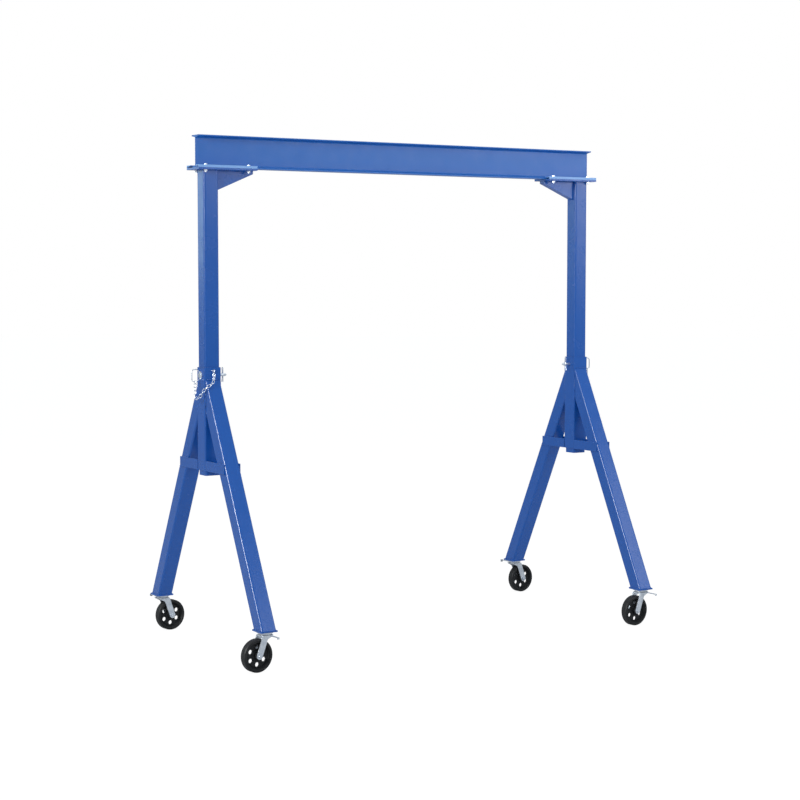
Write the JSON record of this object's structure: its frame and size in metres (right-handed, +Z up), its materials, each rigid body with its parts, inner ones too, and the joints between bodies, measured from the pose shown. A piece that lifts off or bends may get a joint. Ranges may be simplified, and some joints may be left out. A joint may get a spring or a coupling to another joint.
{
  "type": "gantry crane",
  "caption": "Mobile gantry crane: a steel I-beam clamped to two posts that slide in sleeved A-frames, on swivel casters.",
  "frame": {"origin": "on the ground, below the middle of the beam", "axes": "+X along the beam, +Y across it, +Z up"},
  "size_m": [3.205, 1.7956, 3.2512],
  "materials": {
    "paint": "satin blue powder coat",
    "zinc": "bright zinc plating",
    "wheel": "moulded black phenolic"
  },
  "bodies": {
    "frames": {"left_sleeve": "paint", "left_braces": "paint", "left_lock_pin": "zinc", "left_hairpin": "zinc", "left_pin_chain": "zinc", "left_front_leg": "paint", "left_front_foot": "paint", "left_front_caster_plate": "zinc", "left_rear_leg": "paint", "left_rear_foot": "paint", "left_rear_caster_plate": "zinc", "right_sleeve": "paint", "right_braces": "paint", "right_lock_pin": "zinc", "right_hairpin": "zinc", "right_pin_chain": "zinc", "right_front_leg": "paint", "right_front_foot": "paint", "right_front_caster_plate": "zinc", "right_rear_leg": "paint", "right_rear_foot": "paint", "right_rear_caster_plate": "zinc"},
    "beam_unit": {"beam": "paint", "left_post": "paint", "left_top_plate": "paint", "left_knee_brace": "paint", "left_clamp_bars": "paint", "left_clamp_bolts": "zinc", "right_post": "paint", "right_top_plate": "paint", "right_knee_brace": "paint", "right_clamp_bars": "paint", "right_clamp_bolts": "zinc"},
    "left_front_swivel": {"left_front_fork": "zinc", "left_front_axle": "zinc"},
    "left_front_roller": {"left_front_wheel": "wheel"},
    "left_rear_swivel": {"left_rear_fork": "zinc", "left_rear_axle": "zinc"},
    "left_rear_roller": {"left_rear_wheel": "wheel"},
    "right_front_swivel": {"right_front_fork": "zinc", "right_front_axle": "zinc"},
    "right_front_roller": {"right_front_wheel": "wheel"},
    "right_rear_swivel": {"right_rear_fork": "zinc", "right_rear_axle": "zinc"},
    "right_rear_roller": {"right_rear_wheel": "wheel"}
  },
  "joints": [
    {"name": "beam_lift", "type": "slide", "parent": "frames", "child": "beam_unit", "axis": [0, 0, 1], "range_m": [0, 0.4572]},
    {"name": "left_front_caster_turn", "type": "hinge", "parent": "frames", "child": "left_front_swivel", "pos_m": [-1.44, -0.75, 0.2], "axis": [0, 0, 1], "continuous": true},
    {"name": "left_front_wheel_spin", "type": "hinge", "parent": "left_front_swivel", "child": "left_front_roller", "pos_m": [-1.49967, -0.75627, 0.1016], "axis": [-0.1045, 0.9945, 0], "continuous": true},
    {"name": "left_rear_caster_turn", "type": "hinge", "parent": "frames", "child": "left_rear_swivel", "pos_m": [-1.44, 0.75, 0.2], "axis": [0, 0, 1], "continuous": true},
    {"name": "left_rear_wheel_spin", "type": "hinge", "parent": "left_rear_swivel", "child": "left_rear_roller", "pos_m": [-1.38033, 0.75627, 0.1016], "axis": [-0.1045, 0.9945, 0], "continuous": true},
    {"name": "right_front_caster_turn", "type": "hinge", "parent": "frames", "child": "right_front_swivel", "pos_m": [1.44, -0.75, 0.2], "axis": [0, 0, 1], "continuous": true},
    {"name": "right_front_wheel_spin", "type": "hinge", "parent": "right_front_swivel", "child": "right_front_roller", "pos_m": [1.38033, -0.75627, 0.1016], "axis": [-0.1045, 0.9945, 0], "continuous": true},
    {"name": "right_rear_caster_turn", "type": "hinge", "parent": "frames", "child": "right_rear_swivel", "pos_m": [1.44, 0.75, 0.2], "axis": [0, 0, 1], "continuous": true},
    {"name": "right_rear_wheel_spin", "type": "hinge", "parent": "right_rear_swivel", "child": "right_rear_roller", "pos_m": [1.49967, 0.75627, 0.1016], "axis": [-0.1045, 0.9945, 0], "continuous": true}
  ]
}
